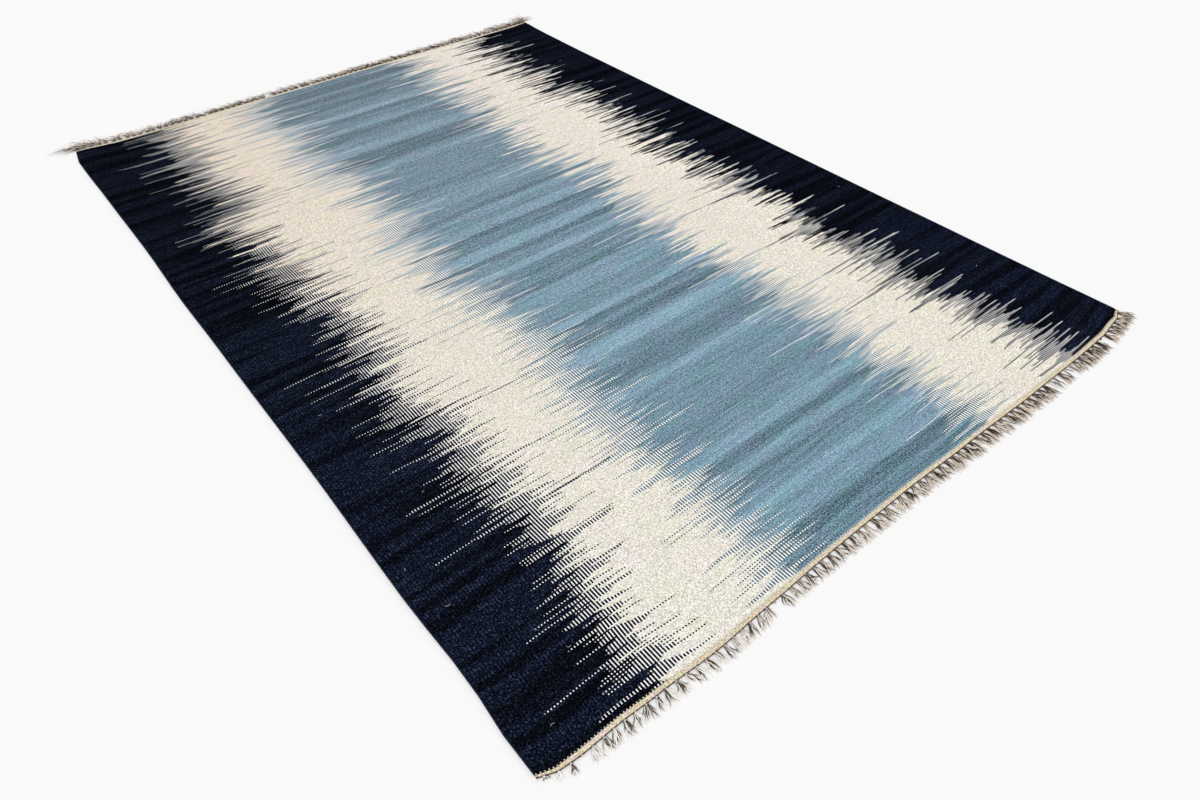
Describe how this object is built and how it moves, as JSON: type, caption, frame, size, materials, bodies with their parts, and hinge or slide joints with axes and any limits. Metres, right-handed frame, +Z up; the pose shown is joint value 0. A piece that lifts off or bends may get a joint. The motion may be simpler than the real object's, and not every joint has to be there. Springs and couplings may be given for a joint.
{
  "type": "kilim rug",
  "caption": "Flat-woven wool rug with plain undyed end strips and a short knotted fringe on both short ends.",
  "frame": {"origin": "middle of the rug's box, on the floor that it lies on", "axes": "+X across the rug, +Y along it, away from the end that is nearest in the picture, +Z up, out of the face that shows"},
  "size_m": [1.755, 2.5152, 0.0036],
  "materials": {
    "weave": "weft-faced wool in navy, cream and light blue bands that run into each other in long feathered points",
    "undyed": "plain woven undyed cotton",
    "warp_ends": "knotted warp yarn, undyed, a little grey"
  },
  "bodies": {
    "root": {"cloth": "weave", "heading_near": "undyed", "heading_far": "undyed", "fringe_near": "warp_ends", "fringe_far": "warp_ends"}
  },
  "joints": []
}
